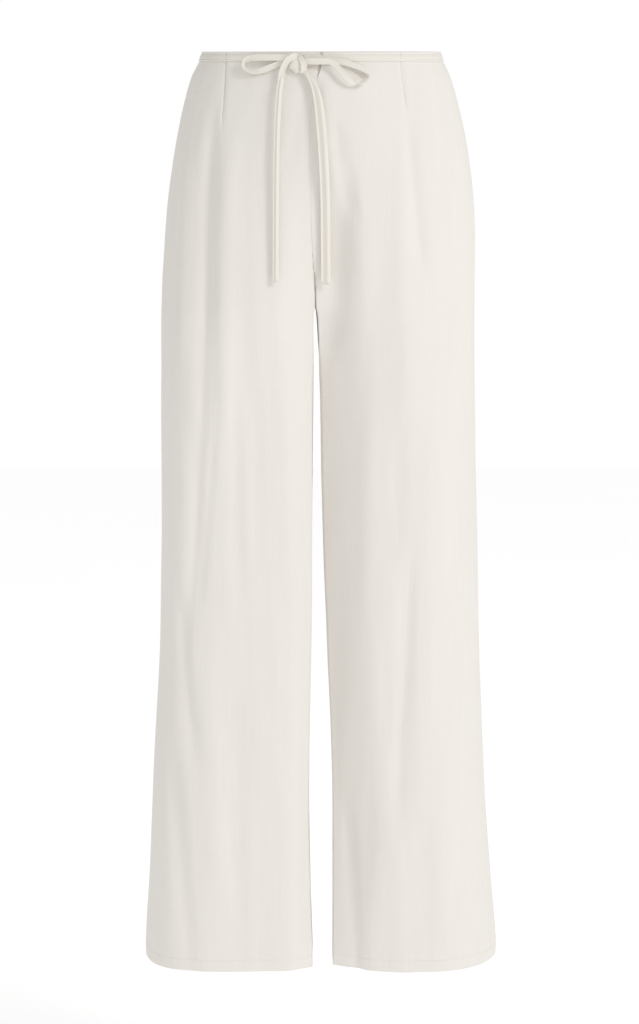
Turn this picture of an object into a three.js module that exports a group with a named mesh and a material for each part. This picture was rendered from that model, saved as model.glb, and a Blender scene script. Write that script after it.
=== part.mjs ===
// Palazzo pants in plain linen with a bow-tied waist, in their worn form with nobody in them.
// Millimetres. +Z is up, the front faces -Y, and +X is the wearer's left.
// The origin is at the middle of the waist, at the height of the tie.
import * as THREE from 'three';

// Driving sizes.
const WAIST_EDGE = 9;
const OUTSEAM = 1060;
const HEM = WAIST_EDGE - OUTSEAM;
const CROTCH = -284;
const FRONT_RISE_CURVE = 64;
const BACK_RISE_CURVE = 95;
const CLOTH = 1.6;
const HEM_DEPTH = 14;
const HEM_CLOTH = 2.8;
const SEAM_GAP = 0.3;
const SLIT_GAP = 2.8;
const SLIT_END = -16;
const SLIT_CLOSED = -22;
const TIE_WIDTH = 7;
const TIE_TOP = 5.5;
const TIE_LOW = TIE_TOP - TIE_WIDTH;
const TIE_CLOTH = 1.4;
const TIE_GAP = 0.4;

// Horizontal sections of the cloth's outside, from the waist edge down to the hem.
// rightOuter and leftOuter are the side seams' distances from the middle, rightInner and leftInner
// are the x of each leg's inner line, which is the centre seam above the crotch.
// legness runs from one ring round the body, 0, to two separate legs, 1.
const SECTION_COLUMNS = [
  'z', 'rightOuter', 'leftOuter', 'rightInner', 'leftInner',
  'frontDepth', 'backDepth', 'legFront', 'legBack', 'legness',
];
const SECTION_ROWS = [
  [9, 137, 137, 0, 0, 94, 96, 92, 94, 0],
  [-22, 149.5, 148.5, -5, -5, 99, 102, 97, 100, 0],
  [-60, 160, 159.5, -12, -12, 104, 110, 101, 108, 0],
  [-110, 169.5, 169.5, -13, -13, 108, 119, 103, 115, 0],
  [-165, 177, 175.5, -12, -12, 111, 126, 105, 119, 0.02],
  [-215, 181.5, 177.5, -10, -10, 112, 128, 106, 120, 0.08],
  [-250, 184, 177.5, -8, -8, 112, 126, 106, 119, 0.2],
  [-284, 185, 177.5, -7, -7, 112, 123, 105, 117, 0.5],
  [-320, 185.5, 177.8, -8, -4.5, 111, 119, 104, 114, 0.85],
  [-370, 186, 178.3, -9, -1.2, 110, 115, 103, 111, 1],
  [-508, 186.6, 181.5, -10.5, 1, 108, 112, 101, 108, 1],
  [-674, 189, 186, -12.2, 6.6, 108, 110, 101, 106, 1],
  [-850, 199.8, 193.7, -14.6, 12.6, 108, 110, 104, 105, 1],
  [-960, 204.8, 202, -12.8, 13.3, 108, 110, 106, 105, 1],
  [-1051, 209.5, 209, -10.5, 13.3, 108, 110, 108, 106, 1],
];

// How boxy the rings round the body and each leg are: 2 is an ellipse and more is squarer.
// backInside is for the inner sides of the backs alone.
const ROUND_COLUMNS = ['z', 'torso', 'rightSide', 'leftSide', 'backInside'];
const ROUND_ROWS = [
  [9, 2.25, 2.3, 2.2, 2.2],
  [-110, 2.55, 2.5, 2.2, 2.2],
  [-300, 2.7, 2.9, 2.25, 2.2],
  [-508, 2.7, 3.1, 2.25, 2.6],
  [-850, 2.7, 3, 2.3, 4],
  [-1051, 2.7, 2.9, 2.4, 6],
];

// The facets that the fronts turn towards each other, which fall from a line to a foot, by x, and their fall.
const FACET_COLUMNS = ['z', 'rightLine', 'rightFoot', 'rightFall', 'leftLine', 'leftFoot', 'leftFall'];
const FACET_ROWS = [
  [-90, -46, -14, 0, 30, 6, 0],
  [-155, -46, -13, 6, 39, 16, 6],
  [-215, -46, -12, 14, 46, 16, 14],
  [-284, -44, -10, 20, 49, 5, 20],
  [-290, -44, -10, 20, 49, 4, 20],
  [-340, -42, -11, 16, 50, 1, 31],
  [-440, -40, -12, 12, 51, 2, 34],
  [-670, -38, -14, 10, 56, 7, 34],
  [-905, -40, -16, 12, 64, 14, 32],
  [-1051, -36, -12, 14, 60, 14, 22],
];
const FACET_EDGE = 0.22;
const INNER_CROWN = 0.05;

// The line that each panel's dart and the fold below it follow, as x at heights down the leg.
const DART_LINE_COLUMNS = ['z', 'front_right', 'front_left', 'back_right', 'back_left'];
const DART_LINE_ROWS = [
  [9, -107, 88, -76, 76],
  [-80, -113, 98, -80, 80],
  [-150, -127, 104, -85, 85],
  [-224, -130, 113, -90, 90],
  [-415, -136, 112, -100, 98],
  [-574, -147, 98, -108, 102],
  [-800, -150, 90, -112, 106],
  [-1051, -142, 100, -112, 110],
];
const DART_LINE_STEP = 3;

// Darts and soft folds. Each runs from topZ to lowZ through the x at its top, middle and low end.
// width is half the fold's breadth along the cloth. height is out from the cloth, so a trough's is negative.
const FOLD_COLUMNS = ['panel', 'topZ', 'lowZ', 'topX', 'midX', 'lowX', 'width', 'height'];
const FOLD_ROWS = [
  ['front_right', 12, -88, -107, -109, -112, 2.6, -1.1],
  ['front_left', 12, -68, 88, 92, 96, 2.6, -1.1],
  ['back_right', 12, -120, -76, -79, -83, 2.6, -1.1],
  ['back_left', 12, -120, 76, 79, 83, 2.6, -1.1],
  ['front_right', -40, -360, -120, -128.5, -133, 8.5, -5.5],
  ['front_right', -270, -700, -132, -141, -158, 9, -3.6],
  ['front_right', -40, -480, -102, -108, -109, 15, 6],
  ['front_right', -70, -380, -148, -156, -158, 11, 3.2],
  ['front_right', -80, -400, -74, -78, -70, 14, 1.4],
  ['front_right', -300, -660, -95, -96, -92, 6, -1.4],
  ['front_right', -580, -830, -165, -156, -145, 9, -4.2],
  ['front_right', -760, -1100, -178, -164, -150, 11, -4.2],
  ['front_right', -610, -1000, -124, -122, -120, 14, 2.4],
  ['front_right', -620, -1120, -97, -98, -100, 14, -1.8],
  ['front_right', -820, -1120, -60, -62, -66, 18, -1.6],
  ['front_left', -45, -260, 96, 105, 117, 8.5, -3.6],
  ['front_left', -70, -480, 86, 92, 98, 16, 2.6],
  ['front_left', -50, -190, 13, 23, 36, 8, -3.4],
  ['front_left', -120, -360, 20, 17.5, 8, 15, -6],
  ['front_left', -300, -640, 122, 128, 124, 18, 1.6],
  ['front_left', -530, -920, 99, 93, 86, 9, -3.4],
  ['front_left', -720, -1120, 134, 140, 146, 18, 2],
  ['front_left', -820, -1120, 28, 36, 46, 10, -3],
  ['front_left', -820, -1120, 84, 90, 96, 16, 3.2],
  ['back_right', -110, -420, -84, -92, -98, 14, -3.2],
  ['back_right', -60, -380, -118, -128, -136, 16, 2.6],
  ['back_right', -290, -620, -44, -52, -66, 14, -3.4],
  ['back_right', -420, -800, -130, -122, -112, 16, -3],
  ['back_right', -700, -1120, -70, -76, -84, 16, 3.2],
  ['back_right', -780, -1120, -140, -150, -154, 14, -3.2],
  ['back_left', -110, -400, 84, 90, 100, 14, -3.2],
  ['back_left', -60, -400, 120, 130, 134, 16, 2.6],
  ['back_left', -290, -600, 40, 48, 62, 14, -3.4],
  ['back_left', -440, -840, 128, 118, 112, 16, -3],
  ['back_left', -680, -1120, 74, 78, 80, 16, 3.2],
  ['back_left', -800, -1120, 150, 156, 160, 14, -3.2],
];
const FOLD_FADE = 0.28;
const SEAM_CALM = 12;

// Bands of rows down a panel, closer together where the shape turns.
const BAND_COLUMNS = ['from', 'to', 'steps'];
const BAND_ROWS = [
  [WAIST_EDGE, TIE_TOP, 1],
  [TIE_TOP, TIE_LOW, 1],
  [TIE_LOW, SLIT_CLOSED, 2],
  [SLIT_CLOSED, -80, 3],
  [-80, -200, 5],
  [-200, CROTCH, 7],
  [CROTCH, -360, 3],
  [-360, HEM + HEM_DEPTH + 0.5, 12],
  [HEM + HEM_DEPTH + 0.5, HEM + HEM_DEPTH, 1],
  [HEM + HEM_DEPTH, HEM, 1],
];
const STEPS_TO_DART = 9;
const STEPS_FROM_DART = 9;
const STEPS_INSIDE = 3;
const INSIDE_OF_LEG = 58;
const INSIDE_OF_TORSO = 3.6;
const CURVE_STEPS = 240;
const CORNER_REACH = 1.2;
const FLAT_STEPS = 30;

// The bow. Each strand's middle line is given by x, z and its distance out from the cloth of the front,
// and lean is the angle of the strip's breadth from upright, seen from the front.
const STRAND_COLUMNS = ['x', 'z', 'out', 'lean'];
const LOOP_RIGHT_ROWS = [
  [-37.2, 2.6, 5.6, 0],
  [-57, 3, 7.5, 0],
  [-77, 2.6, 7, 0],
  [-86, -1.5, 5.6, 50],
  [-86.5, -8.5, 4.4, 100],
  [-78, -12.6, 3.8, 160],
  [-67, -11.6, 3.6, 205],
  [-55, -7, 3.5, 208],
  [-45, -3, 3.5, 200],
  [-37.2, -1.4, 3.5, 186],
];
const LOOP_LEFT_ROWS = [
  [-18.6, -1.2, 6.2, 0],
  [-2, -1.2, 8, 0],
  [11, -2.2, 9, -16],
  [19.5, -9.6, 9.8, -44],
  [28, -19, 9.8, -48],
  [37.5, -24.6, 8.6, -62],
  [46, -24, 7, -110],
  [51.5, -17.5, 5.4, -150],
  [47, -11, 4.2, -196],
  [36, -6, 3.7, -200],
  [22, -1.8, 3.5, -190],
  [6, -1, 3.5, -182],
  [-18.6, -2.6, 3.5, -180],
];
const TAIL_COLUMNS = ['x', 'z', 'out', 'width'];
const TAIL_RIGHT_ROWS = [
  [-34, -12.6, 4, 7],
  [-41, -16, 5.2, 7],
  [-45.6, -24, 6.6, 7],
  [-47.6, -40, 7.4, 7],
  [-50, -88, 7, 7],
  [-51, -155, 6.4, 7],
  [-51.5, -246, 5, 7],
];
const TAIL_LEFT_ROWS = [
  [-22.6, -12.8, 4, 9],
  [-15, -20, 5, 9.2],
  [-9, -28, 6, 9.6],
  [-4.6, -40, 6.8, 10],
  [-2, -57, 7.2, 10.4],
  [0.6, -84, 7.2, 10.8],
  [2.6, -115, 7, 10.8],
  [4.2, -155, 6.6, 10.8],
  [5, -250, 5.2, 10.8],
];
const STRAND_STEPS = 3;
const KNOT = { x: -28, z: -3.8, out: 5.4, halfWidth: 8.6, halfDepth: 4.8, halfHeight: 8.4 };

const UNDERLAP = {
  top: 7, low: -150, beyondRight: 8, beyondLeft: 13,
  steps: 16, across: 4, gap: 0.7, cloth: 1.2,
};

// Turns a table's rows into objects with its column names.
function named(columns, rows) {
  return rows.map((row) => Object.fromEntries(columns.map((column, i) => [column, row[i]])));
}

const SECTIONS = named(SECTION_COLUMNS, SECTION_ROWS);
const ROUNDS = named(ROUND_COLUMNS, ROUND_ROWS);
const FACETS = named(FACET_COLUMNS, FACET_ROWS);
const DART_LINES = named(DART_LINE_COLUMNS, DART_LINE_ROWS);
const FOLDS = named(FOLD_COLUMNS, FOLD_ROWS);
const BANDS = named(BAND_COLUMNS, BAND_ROWS);

// Slope of a column at row i, zero at a turning point so that the curve never overshoots.
function columnSlope(table, column, i) {
  if (i === 0 || i === table.length - 1) return 0;
  const above = (table[i][column] - table[i - 1][column]) / (table[i].z - table[i - 1].z);
  const below = (table[i + 1][column] - table[i][column]) / (table[i + 1].z - table[i].z);
  return above * below <= 0 ? 0 : (2 * above * below) / (above + below);
}

// A value on the smooth curve from one value to the next, with a given slope at each end.
function curved(from, to, start, end, t) {
  const rise = to - from;
  const bend = t * t * (3 * rise - 2 * start - end) + t * t * t * (start + end - 2 * rise);
  return from + t * start + bend;
}

// A column's value at any height, along a smooth curve through its rows.
function columnAt(table, column, z) {
  if (z >= table[0].z) return table[0][column];
  const last = table.length - 1;
  if (z <= table[last].z) return table[last][column];
  const i = table.findIndex((row) => row.z < z) - 1;
  const span = table[i + 1].z - table[i].z;
  const t = (z - table[i].z) / span;
  const start = columnSlope(table, column, i) * span;
  const end = columnSlope(table, column, i + 1) * span;
  return curved(table[i][column], table[i + 1][column], start, end, t);
}

function smooth(t) {
  const held = Math.min(1, Math.max(0, t));
  return held * held * (3 - 2 * held);
}

function bell(t) {
  return Math.exp(-t * t);
}

// From 0 to 1 in a straight line with soft corners, as t goes from 0 to 1.
function softRamp(t) {
  const eased = (u) => (u + Math.hypot(u, FACET_EDGE)) / 2;
  return eased(t) - eased(t - 1);
}

// Half of the gap between the two fronts, wide at the slit below the waist edge.
function halfCentreGap(face, z) {
  if (face === 'back') return SEAM_GAP / 2;
  const open = smooth((z - SLIT_CLOSED) / (SLIT_END - SLIT_CLOSED));
  return SEAM_GAP / 2 + (open * (SLIT_GAP - SEAM_GAP)) / 2;
}

// Where a panel's inner edge lies from front to back: on the centre seam, and on the inseam below the crotch.
function innerEdgeDepth(face, z, sectionDepth) {
  if (z <= CROTCH) return SEAM_GAP / 2;
  const rise = face === 'front' ? FRONT_RISE_CURVE : BACK_RISE_CURVE;
  const down = (CROTCH + rise - z) / rise;
  if (down <= 0) return sectionDepth;
  return Math.min(sectionDepth, sectionDepth * Math.sqrt(Math.max(0, 1 - down * down)) + SEAM_GAP / 2);
}

// How far a front falls back at x on its inner facet. x and inner are counted away from the middle.
function facetFall(side, z, x, inner) {
  const sign = side === 'right' ? -1 : 1;
  const line = sign * columnAt(FACETS, `${side}Line`, z);
  const foot = sign * columnAt(FACETS, `${side}Foot`, z);
  const share = softRamp((line - x) / (line - foot)) / softRamp((line - inner) / (line - foot));
  return columnAt(FACETS, `${side}Fall`, z) * share;
}

// One horizontal section of a panel, as points from the side seam round to the inner edge.
function plainSection(side, face, z) {
  const sign = side === 'right' ? -1 : 1;
  const outward = face === 'front' ? -1 : 1;
  const outer = columnAt(SECTIONS, `${side}Outer`, z);
  const inner = sign * columnAt(SECTIONS, `${side}Inner`, z) + halfCentreGap(face, z);
  const middle = (outer + inner) / 2;
  const half = (outer - inner) / 2;
  const torsoDepth = columnAt(SECTIONS, `${face}Depth`, z);
  const legDepth = columnAt(SECTIONS, face === 'front' ? 'legFront' : 'legBack', z);
  const legness = columnAt(SECTIONS, 'legness', z);
  const torsoRound = columnAt(ROUNDS, 'torso', z);
  const sideRound = columnAt(ROUNDS, `${side}Side`, z);
  const backInside = columnAt(ROUNDS, 'backInside', z);
  const points = [];
  for (let i = 0; i <= CURVE_STEPS; i += 1) {
    const turn = Math.cos((Math.PI * i) / CURVE_STEPS);
    const across = middle + half * turn;
    const torso = torsoDepth * (1 - Math.abs(across / outer) ** torsoRound) ** (1 / torsoRound);
    const roundness = turn > 0 ? sideRound : backInside;
    const ring = (1 - Math.abs(turn) ** roundness) ** (1 / roundness);
    const leg = legDepth * (face === 'front' && turn <= 0 ? 1 - INNER_CROWN * turn ** 2 : ring);
    const fall = face === 'front' ? facetFall(side, z, across, inner) : 0;
    const depth = (1 - legness) * torso + legness * leg - fall;
    points.push({ x: sign * across, y: outward * depth });
  }
  const reached = Math.abs(points[CURVE_STEPS].y);
  const end = innerEdgeDepth(face, z, reached);
  for (let i = 1; i <= FLAT_STEPS; i += 1) {
    const depth = reached + ((end - reached) * i) / FLAT_STEPS;
    points.push({ x: sign * inner, y: outward * depth });
  }
  return points;
}

function measure(points) {
  let length = 0;
  points.forEach((point, i) => {
    if (i > 0) length += Math.hypot(point.x - points[i - 1].x, point.y - points[i - 1].y);
    point.s = length;
  });
  return points;
}

// The distance along a section at which it passes a given x, counted from the side seam.
function distanceAt(points, x) {
  const towards = Math.sign(points[points.length - 1].x - points[0].x);
  const i = points.findIndex((point) => towards * (point.x - x) >= 0);
  if (i <= 0) return points[points.length - 1].s;
  const before = points[i - 1];
  const share = (x - before.x) / (points[i].x - before.x);
  return before.s + share * (points[i].s - before.s);
}

// A fold's strength at a height, full in the middle and nothing at its ends.
function foldStrength(fold, z) {
  const t = (fold.topZ - z) / (fold.topZ - fold.lowZ);
  if (t <= 0 || t >= 1) return 0;
  return smooth(t / FOLD_FADE) * smooth((1 - t) / FOLD_FADE);
}

function foldX(fold, z) {
  const t = (fold.topZ - z) / (fold.topZ - fold.lowZ);
  return fold.topX * (1 - t) * (1 - 2 * t) + 4 * fold.midX * t * (1 - t) + fold.lowX * t * (2 * t - 1);
}

// The direction out of the cloth in plan, at point i of a section.
function planNormal(points, i, sign) {
  const a = points[Math.max(0, i - 1)];
  const b = points[Math.min(points.length - 1, i + 1)];
  const length = Math.hypot(b.x - a.x, b.y - a.y) || 1;
  return { x: (sign * (b.y - a.y)) / length, y: (-sign * (b.x - a.x)) / length };
}

// Which way round a panel's sections run: 1 with the cloth's outside on their right, and -1 on their left.
function outwardSign(side, face) {
  return (side === 'right' ? 1 : -1) * (face === 'front' ? 1 : -1);
}

// A section with the panel's darts and folds worked into it, and no fold at its seams.
function foldedSection(side, face, z) {
  const points = measure(plainSection(side, face, z));
  const total = points[points.length - 1].s;
  const panel = `${face}_${side}`;
  const active = FOLDS.filter((fold) => fold.panel === panel && foldStrength(fold, z) > 0).map((fold) => ({
    s: distanceAt(points, foldX(fold, z)),
    width: fold.width,
    height: fold.height * foldStrength(fold, z),
  }));
  const moved = points.map((point, i) => {
    const calm = smooth(point.s / SEAM_CALM) * smooth((total - point.s) / SEAM_CALM);
    const bulge = active.reduce((sum, fold) => sum + fold.height * bell((point.s - fold.s) / fold.width), 0);
    const normal = planNormal(points, i, outwardSign(side, face));
    return { x: point.x + normal.x * bulge * calm, y: point.y + normal.y * bulge * calm };
  });
  return measure(moved);
}

function placeAt(points, s) {
  const found = points.findIndex((point) => point.s >= s);
  const i = found < 0 ? points.length - 1 : Math.max(1, found);
  const a = points[i - 1];
  const b = points[i];
  const share = b.s > a.s ? Math.min(1, Math.max(0, (s - a.s) / (b.s - a.s))) : 0;
  return { x: a.x + (b.x - a.x) * share, y: a.y + (b.y - a.y) * share };
}

// A point of a section and its direction along it, which at a corner is the mean of the two sides.
function pointAt(points, s) {
  const before = placeAt(points, s - CORNER_REACH);
  const after = placeAt(points, s + CORNER_REACH);
  const along = new THREE.Vector3(after.x - before.x, after.y - before.y, 0).normalize();
  return { ...placeAt(points, s), along };
}

// Evenly spaced values after start, up to and with end.
function evenSteps(start, end, steps) {
  return Array.from({ length: steps }, (_, i) => start + ((end - start) * (i + 1)) / steps);
}

// Distances along a section for one row of a panel. Three columns keep to the dart's line,
// and one keeps to the turn between the front or back of the leg and its inside.
function columnDistances(points, panel, z) {
  const first = SEAM_GAP / 2;
  const last = points[points.length - 1].s;
  const dart = distanceAt(points, columnAt(DART_LINES, panel, z));
  const inside = z > CROTCH ? INSIDE_OF_TORSO : INSIDE_OF_LEG;
  const turn = Math.min(points[CURVE_STEPS].s, last - inside);
  return [
    first,
    ...evenSteps(first, dart - DART_LINE_STEP, STEPS_TO_DART),
    dart,
    dart + DART_LINE_STEP,
    ...evenSteps(dart + DART_LINE_STEP, turn, STEPS_FROM_DART),
    ...evenSteps(turn, last, STEPS_INSIDE),
  ];
}

function panelHeights() {
  const heights = [BANDS[0].from];
  BANDS.forEach((band) => {
    heights.push(...evenSteps(band.from, band.to, band.steps));
  });
  return heights;
}

function clothAt(z) {
  return z <= HEM + HEM_DEPTH ? HEM_CLOTH : CLOTH;
}

// Triangles of a closed wall between an outer and an inner grid of points, both as rows from top to hem.
function closedWall(outer, inner) {
  const rows = outer.length;
  const columns = outer[0].length;
  const low = rows - 1;
  const far = columns - 1;
  const positions = [...outer.flat(), ...inner.flat()].flatMap((point) => [point.x, point.y, point.z]);
  const skin = (face, r, c) => face * rows * columns + r * columns + c;
  const triangles = [];
  const quad = (a, b, c, d) => triangles.push(a, b, c, a, c, d);
  for (let r = 0; r < low; r += 1) {
    for (let c = 0; c < far; c += 1) {
      quad(skin(0, r, c), skin(0, r + 1, c), skin(0, r + 1, c + 1), skin(0, r, c + 1));
      quad(skin(1, r, c), skin(1, r, c + 1), skin(1, r + 1, c + 1), skin(1, r + 1, c));
    }
    quad(skin(0, r, 0), skin(1, r, 0), skin(1, r + 1, 0), skin(0, r + 1, 0));
    quad(skin(0, r, far), skin(0, r + 1, far), skin(1, r + 1, far), skin(1, r, far));
  }
  for (let c = 0; c < far; c += 1) {
    quad(skin(0, 0, c), skin(0, 0, c + 1), skin(1, 0, c + 1), skin(1, 0, c));
    quad(skin(0, low, c), skin(1, low, c), skin(1, low, c + 1), skin(0, low, c + 1));
  }
  return facingOut(positions, triangles);
}

// A geometry whose faces point out, whichever way round its triangles were given.
function facingOut(positions, triangles) {
  const corner = (i) => new THREE.Vector3().fromArray(positions, 3 * i);
  let volume = 0;
  for (let i = 0; i < triangles.length; i += 3) {
    const across = corner(triangles[i + 1]).cross(corner(triangles[i + 2]));
    volume += corner(triangles[i]).dot(across);
  }
  const index = [...triangles];
  if (volume < 0) {
    for (let i = 0; i < index.length; i += 3) [index[i + 1], index[i + 2]] = [index[i + 2], index[i + 1]];
  }
  const geometry = new THREE.BufferGeometry();
  geometry.setAttribute('position', new THREE.Float32BufferAttribute(positions, 3));
  geometry.setIndex(index);
  geometry.computeVertexNormals();
  return geometry;
}

function legPanel(side, face) {
  const heights = panelHeights();
  const sign = outwardSign(side, face);
  const rows = heights.map((z) => {
    const points = foldedSection(side, face, z);
    return columnDistances(points, `${face}_${side}`, z).map((s) => ({ ...pointAt(points, s), z }));
  });
  const outer = rows.map((row) => row.map((point) => new THREE.Vector3(point.x, point.y, point.z)));
  const inner = rows.map((row, r) => row.map((point, c) => {
    const above = outer[Math.max(0, r - 1)][c];
    const below = outer[Math.min(rows.length - 1, r + 1)][c];
    const up = above.clone().sub(below);
    const out = point.along.clone().cross(up).normalize().multiplyScalar(sign);
    return outer[r][c].clone().addScaledVector(out, -clothAt(point.z));
  }));
  return closedWall(outer, inner);
}

// The outside of the front at x and z.
function frontY(x, z) {
  const side = x < columnAt(SECTIONS, 'rightInner', z) ? 'right' : 'left';
  const points = foldedSection(side, 'front', z);
  return pointAt(points, distanceAt(points, x)).y;
}

// The outer points of a panel at one height, in its own columns, up to a given x or to its inner edge.
function panelRow(side, face, z, until) {
  const points = foldedSection(side, face, z);
  const last = until === undefined ? points[points.length - 1].s : distanceAt(points, until);
  const distances = columnDistances(points, `${face}_${side}`, z).filter((s) => s < last - 1);
  return [...distances, last].map((s) => ({ ...pointAt(points, s), sign: outwardSign(side, face) }));
}

// The strip round the waist, laid on the panels from one side of the knot, round the back, to the other.
function waistTie() {
  const heights = [TIE_TOP, TIE_LOW];
  const reach = KNOT.halfWidth + TIE_GAP;
  const face = (distance) => heights.map((z) => {
    const ring = [
      ...panelRow('right', 'front', z, KNOT.x - reach).reverse(),
      ...panelRow('right', 'back', z),
      ...panelRow('left', 'back', z).reverse(),
      ...panelRow('left', 'front', z, KNOT.x + reach),
    ];
    return ring.map(({ x, y, along, sign }) => (
      new THREE.Vector3(x + sign * along.y * distance, y - sign * along.x * distance, z)));
  });
  return closedWall(face(TIE_GAP + TIE_CLOTH), face(TIE_GAP));
}

// Points along a smooth line through a table's rows.
function alongTable(columns, rows) {
  const table = named(columns, rows);
  const curves = columns.map((column) => table.map((row) => row[column]));
  const steps = (table.length - 1) * STRAND_STEPS;
  return Array.from({ length: steps + 1 }, (_, i) => {
    const place = (i / steps) * (table.length - 1);
    const k = Math.min(table.length - 2, Math.floor(place));
    const t = place - k;
    const value = (list) => {
      const before = list[Math.max(0, k - 1)];
      const after = list[Math.min(list.length - 1, k + 2)];
      const start = (list[k + 1] - before) / 2;
      const end = (after - list[k]) / 2;
      return curved(list[k], list[k + 1], start, end, t);
    };
    return Object.fromEntries(columns.map((column, c) => [column, value(curves[c])]));
  });
}

// A bow strand: a flat strip whose middle line stands off the front by each row's distance.
function strand(rows) {
  const line = alongTable(STRAND_COLUMNS, rows)
    .map((row) => ({ ...row, middle: new THREE.Vector3(row.x, frontY(row.x, row.z) - row.out, row.z) }));
  const faces = [1, -1].map((face) => line.map((row, i) => {
    const before = line[Math.max(0, i - 1)].middle;
    const after = line[Math.min(line.length - 1, i + 1)].middle;
    const along = after.clone().sub(before).normalize();
    const lean = THREE.MathUtils.degToRad(row.lean);
    const upright = new THREE.Vector3(-Math.sin(lean), 0, Math.cos(lean));
    const across = upright.addScaledVector(along, -upright.dot(along)).normalize();
    const out = along.clone().cross(across).normalize();
    return [-1, 0, 1].map((edge) => row.middle.clone()
      .addScaledVector(across, (edge * TIE_WIDTH) / 2)
      .addScaledVector(out, (face * TIE_CLOTH) / 2));
  }));
  return closedWall(faces[0], faces[1]);
}

// A free end of the tie, lying down the front at each row's distance from the cloth.
function tail(rows) {
  const line = alongTable(TAIL_COLUMNS, rows);
  const face = (thickness) => line.map((row) => [-0.5, 0, 0.5].map((edge) => {
    const x = row.x + edge * row.width;
    return new THREE.Vector3(x, frontY(x, row.z) - row.out - thickness, row.z);
  }));
  return closedWall(face(TIE_CLOTH), face(0));
}

function knot() {
  const geometry = new THREE.SphereGeometry(1, 14, 10);
  geometry.scale(KNOT.halfWidth, KNOT.halfDepth, KNOT.halfHeight);
  return geometry;
}

// The underlap lies behind the slit and the seam line below it, against the inside of the fronts.
function flyUnderlap() {
  const depth = CLOTH + UNDERLAP.gap;
  const wide = UNDERLAP.beyondRight + UNDERLAP.beyondLeft;
  const face = (extra) => Array.from({ length: UNDERLAP.steps + 1 }, (_, i) => {
    const z = UNDERLAP.top + ((UNDERLAP.low - UNDERLAP.top) * i) / UNDERLAP.steps;
    const centre = columnAt(SECTIONS, 'rightInner', z);
    return Array.from({ length: UNDERLAP.across + 1 }, (__, c) => {
      const x = centre - UNDERLAP.beyondRight + (wide * c) / UNDERLAP.across;
      return new THREE.Vector3(x, frontY(x, z) + depth + extra, z);
    });
  });
  return closedWall(face(0), face(UNDERLAP.cloth));
}

function linen() {
  return new THREE.MeshStandardMaterial({ color: 0xeeebe4, roughness: 0.9, metalness: 0 });
}

function tieLinen() {
  return new THREE.MeshStandardMaterial({ color: 0xebe6da, roughness: 0.88, metalness: 0 });
}

function piece(name, geometry, material) {
  const mesh = new THREE.Mesh(geometry, material);
  mesh.name = name;
  return mesh;
}

function pants() {
  const group = new THREE.Group();
  ['front', 'back'].forEach((face) => ['right', 'left'].forEach((side) => {
    group.add(piece(`${face}_${side}`, legPanel(side, face), linen()));
  }));
  group.add(piece('fly_underlap', flyUnderlap(), linen()));
  group.add(piece('tie_waist', waistTie(), tieLinen()));
  group.add(piece('tie_loop_right', strand(LOOP_RIGHT_ROWS), tieLinen()));
  group.add(piece('tie_loop_left', strand(LOOP_LEFT_ROWS), tieLinen()));
  group.add(piece('tie_end_right', tail(TAIL_RIGHT_ROWS), tieLinen()));
  group.add(piece('tie_end_left', tail(TAIL_LEFT_ROWS), tieLinen()));
  const tieKnot = piece('tie_knot', knot(), tieLinen());
  tieKnot.position.set(KNOT.x, frontY(KNOT.x, KNOT.z) - KNOT.out, KNOT.z);
  group.add(tieKnot);
  return group;
}

export default pants();
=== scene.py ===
import math

import bmesh
import bpy
import numpy as np
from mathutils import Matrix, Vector


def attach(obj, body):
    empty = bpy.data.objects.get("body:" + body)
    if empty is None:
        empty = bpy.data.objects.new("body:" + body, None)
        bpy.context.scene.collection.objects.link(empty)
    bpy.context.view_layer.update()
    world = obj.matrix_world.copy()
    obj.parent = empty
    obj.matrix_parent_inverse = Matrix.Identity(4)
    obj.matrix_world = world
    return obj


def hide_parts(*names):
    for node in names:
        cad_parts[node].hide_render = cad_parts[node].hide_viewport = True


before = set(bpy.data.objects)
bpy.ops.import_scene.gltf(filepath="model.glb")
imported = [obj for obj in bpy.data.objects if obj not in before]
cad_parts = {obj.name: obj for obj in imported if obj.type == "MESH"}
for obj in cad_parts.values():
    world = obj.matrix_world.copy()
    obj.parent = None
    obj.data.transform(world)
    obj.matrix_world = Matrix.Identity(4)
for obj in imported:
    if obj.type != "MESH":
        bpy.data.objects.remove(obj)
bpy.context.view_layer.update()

# Driving sizes.
WAIST_EDGE = 0.009
HEM = -1.051
CROTCH = -0.277
RISE_CURVE = {"front": 0.064, "back": 0.095}
CLOTH = 0.0009
FACED_CLOTH = 0.0013
HEM_CLOTH = 0.0018
HEM_DEPTH = 0.014
FACING_EDGE = -0.042
SEAM_GAP = 0.00006
SLIT_GAP = 0.0030
SLIT_END = -0.012
SLIT_CLOSED = -0.0195
TIE_WIDTH = 0.007
TIE_CLOTH = 0.0011
PRESSED_TIE = 0.0009
TIE_MIDDLE = 0.002
TIE_GAP = 0.0001
KNOT_X = -0.028
KNOT_REACH = 0.004

# Finer form over the plain cloth. A run is the length over which a step rises.
THINNEST_CLOTH = 0.0007
EDGE_ROLL = {"radius": 0.0004, "depth": 0.00015}
DART = {"lap": 0.00045, "lap_width": 0.011, "crease": 0.001, "crease_width": 0.0008, "point_run": 0.02}
FACING = {"step": 0.0003, "run": 0.0016}
HEM_LINE = {"step": 0.00022, "run": 0.002, "groove_width": 0.0011, "thickening_run": 0.0005}
SEAM_PUCKER = {"height": 0.0002, "pitch": 0.011, "reach": 0.006, "wander": 3, "wander_pitch": 0.031}
HEM_PUCKER = {"height": 0.00025, "pitch": 0.013, "reach": 0.008, "wander": 2, "wander_pitch": 0.027}
WAVES = {"height": 0.00055, "count": 26, "breadths": (0.02, 0.09), "lengths": (0.1, 0.6),
         "calm_at_seams": 0.02, "calm_at_waist": 0.05}

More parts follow.
